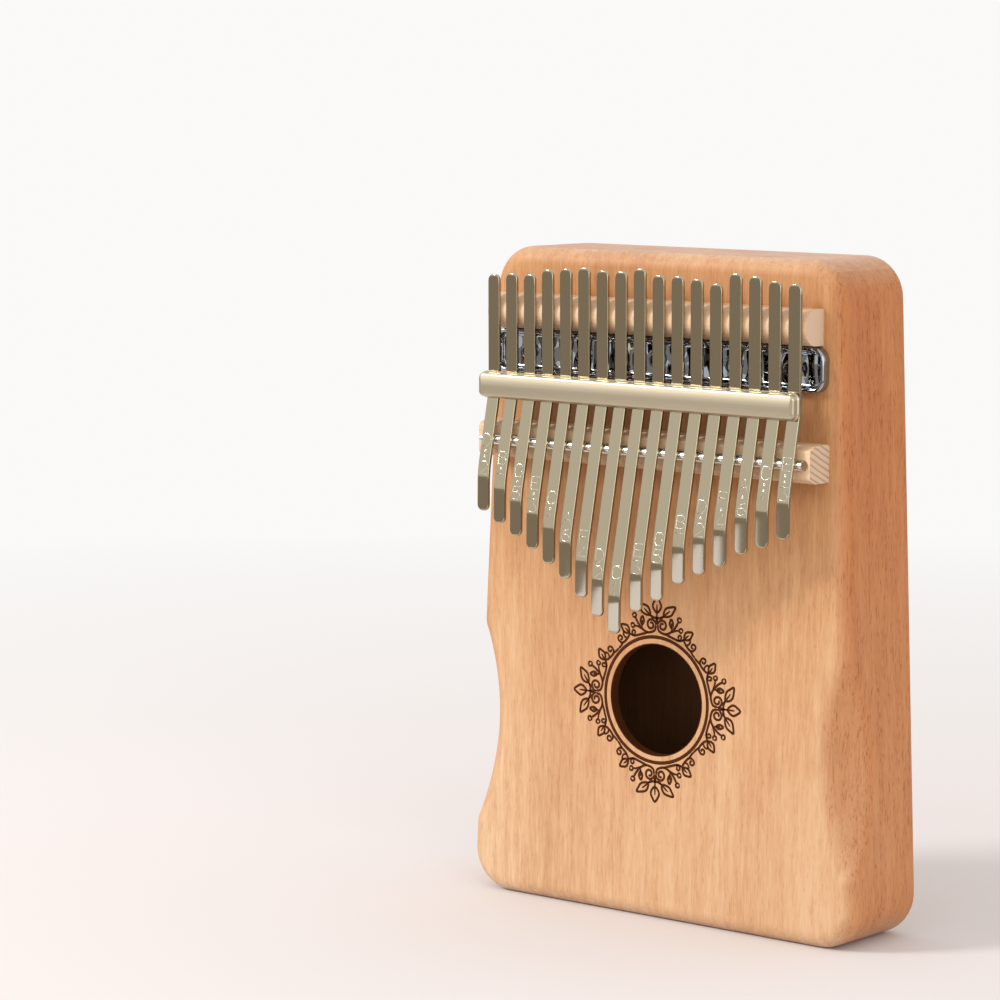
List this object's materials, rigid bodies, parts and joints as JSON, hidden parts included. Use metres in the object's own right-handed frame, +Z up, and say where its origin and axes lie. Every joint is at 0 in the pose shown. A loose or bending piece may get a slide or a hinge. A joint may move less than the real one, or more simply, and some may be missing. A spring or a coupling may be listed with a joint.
{
  "type": "kalimba",
  "caption": "Box kalimba: a hollow wooden thumb piano with steel tines, a bridge rod, a pressure bar and a round sound hole.",
  "frame": {"origin": "middle of the flat bottom face, halfway between the front and back of the wooden box", "axes": "+Z up along the tines towards the head of the box, -Y out of the front face where the tines are, +X to the right seen from the front"},
  "size_m": [0.1316, 0.0527, 0.185],
  "materials": {
    "soundboard_wood": "satin mahogany, upright grain",
    "frame_wood": "satin mahogany, grain along each board",
    "back_wood": "satin mahogany, upright grain",
    "block_wood": "raw hardwood",
    "bar_wood": "raw beech",
    "tine_steel": "satin spring steel",
    "rod_steel": "bright drawn steel",
    "tray_chrome": "mirror chrome",
    "bar_nickel": "satin nickel plate",
    "fastener_steel": "bright plated steel"
  },
  "bodies": {
    "root": {"soundboard": "soundboard_wood", "back_board": "back_wood", "frame_top": "frame_wood", "frame_bottom": "frame_wood", "frame_left": "frame_wood", "frame_right": "frame_wood", "pin_block": "block_wood", "rear_bar": "bar_wood", "bridge_bar": "bar_wood", "bridge_rod": "rod_steel", "anchor_tray": "tray_chrome", "tray_screws": "fastener_steel", "pressure_bar": "bar_nickel", "pressure_bar_studs": "fastener_steel", "stud_washers": "fastener_steel", "stud_nuts": "fastener_steel", "tine_01_tang": "tine_steel", "tine_02_tang": "tine_steel", "tine_03_tang": "tine_steel", "tine_04_tang": "tine_steel", "tine_05_tang": "tine_steel", "tine_06_tang": "tine_steel", "tine_07_tang": "tine_steel", "tine_08_tang": "tine_steel", "tine_09_tang": "tine_steel", "tine_10_tang": "tine_steel", "tine_11_tang": "tine_steel", "tine_12_tang": "tine_steel", "tine_13_tang": "tine_steel", "tine_14_tang": "tine_steel", "tine_15_tang": "tine_steel", "tine_16_tang": "tine_steel", "tine_17_tang": "tine_steel"},
    "reed_01": {"tine_01_reed": "tine_steel"},
    "reed_02": {"tine_02_reed": "tine_steel"},
    "reed_03": {"tine_03_reed": "tine_steel"},
    "reed_04": {"tine_04_reed": "tine_steel"},
    "reed_05": {"tine_05_reed": "tine_steel"},
    "reed_06": {"tine_06_reed": "tine_steel"},
    "reed_07": {"tine_07_reed": "tine_steel"},
    "reed_08": {"tine_08_reed": "tine_steel"},
    "reed_09": {"tine_09_reed": "tine_steel"},
    "reed_10": {"tine_10_reed": "tine_steel"},
    "reed_11": {"tine_11_reed": "tine_steel"},
    "reed_12": {"tine_12_reed": "tine_steel"},
    "reed_13": {"tine_13_reed": "tine_steel"},
    "reed_14": {"tine_14_reed": "tine_steel"},
    "reed_15": {"tine_15_reed": "tine_steel"},
    "reed_16": {"tine_16_reed": "tine_steel"},
    "reed_17": {"tine_17_reed": "tine_steel"}
  },
  "joints": [
    {"name": "reed_01_flex", "type": "hinge", "parent": "root", "child": "reed_01", "pos_m": [-0.05088, -0.026, 0.1313], "axis": [1, 0, 0], "range_deg": [-3, 3], "stiffness_Nm_per_rad": 9.51},
    {"name": "reed_02_flex", "type": "hinge", "parent": "root", "child": "reed_02", "pos_m": [-0.04452, -0.026, 0.1313], "axis": [1, 0, 0], "range_deg": [-3, 3], "stiffness_Nm_per_rad": 8.27},
    {"name": "reed_03_flex", "type": "hinge", "parent": "root", "child": "reed_03", "pos_m": [-0.03816, -0.026, 0.1313], "axis": [1, 0, 0], "range_deg": [-3, 3], "stiffness_Nm_per_rad": 7.32},
    {"name": "reed_04_flex", "type": "hinge", "parent": "root", "child": "reed_04", "pos_m": [-0.0318, -0.026, 0.1313], "axis": [1, 0, 0], "range_deg": [-3, 3], "stiffness_Nm_per_rad": 6.57},
    {"name": "reed_05_flex", "type": "hinge", "parent": "root", "child": "reed_05", "pos_m": [-0.02544, -0.026, 0.1313], "axis": [1, 0, 0], "range_deg": [-3, 3], "stiffness_Nm_per_rad": 5.86},
    {"name": "reed_06_flex", "type": "hinge", "parent": "root", "child": "reed_06", "pos_m": [-0.01908, -0.026, 0.1313], "axis": [1, 0, 0], "range_deg": [-3, 3], "stiffness_Nm_per_rad": 5.29},
    {"name": "reed_07_flex", "type": "hinge", "parent": "root", "child": "reed_07", "pos_m": [-0.01272, -0.026, 0.1313], "axis": [1, 0, 0], "range_deg": [-3, 3], "stiffness_Nm_per_rad": 4.71},
    {"name": "reed_08_flex", "type": "hinge", "parent": "root", "child": "reed_08", "pos_m": [-0.00636, -0.026, 0.1313], "axis": [1, 0, 0], "range_deg": [-3, 3], "stiffness_Nm_per_rad": 4.24},
    {"name": "reed_09_flex", "type": "hinge", "parent": "root", "child": "reed_09", "pos_m": [0, -0.026, 0.1313], "axis": [1, 0, 0], "range_deg": [-3, 3], "stiffness_Nm_per_rad": 3.89},
    {"name": "reed_10_flex", "type": "hinge", "parent": "root", "child": "reed_10", "pos_m": [0.00636, -0.026, 0.1313], "axis": [1, 0, 0], "range_deg": [-3, 3], "stiffness_Nm_per_rad": 4.49},
    {"name": "reed_11_flex", "type": "hinge", "parent": "root", "child": "reed_11", "pos_m": [0.01272, -0.026, 0.1313], "axis": [1, 0, 0], "range_deg": [-3, 3], "stiffness_Nm_per_rad": 4.89},
    {"name": "reed_12_flex", "type": "hinge", "parent": "root", "child": "reed_12", "pos_m": [0.01908, -0.026, 0.1313], "axis": [1, 0, 0], "range_deg": [-3, 3], "stiffness_Nm_per_rad": 5.6},
    {"name": "reed_13_flex", "type": "hinge", "parent": "root", "child": "reed_13", "pos_m": [0.02544, -0.026, 0.1313], "axis": [1, 0, 0], "range_deg": [-3, 3], "stiffness_Nm_per_rad": 6.14},
    {"name": "reed_14_flex", "type": "hinge", "parent": "root", "child": "reed_14", "pos_m": [0.0318, -0.026, 0.1313], "axis": [1, 0, 0], "range_deg": [-3, 3], "stiffness_Nm_per_rad": 6.73},
    {"name": "reed_15_flex", "type": "hinge", "parent": "root", "child": "reed_15", "pos_m": [0.03816, -0.026, 0.1313], "axis": [1, 0, 0], "range_deg": [-3, 3], "stiffness_Nm_per_rad": 7.77},
    {"name": "reed_16_flex", "type": "hinge", "parent": "root", "child": "reed_16", "pos_m": [0.04452, -0.026, 0.1313], "axis": [1, 0, 0], "range_deg": [-3, 3], "stiffness_Nm_per_rad": 8.53},
    {"name": "reed_17_flex", "type": "hinge", "parent": "root", "child": "reed_17", "pos_m": [0.05088, -0.026, 0.1313], "axis": [1, 0, 0], "range_deg": [-3, 3], "stiffness_Nm_per_rad": 9.7}
  ]
}
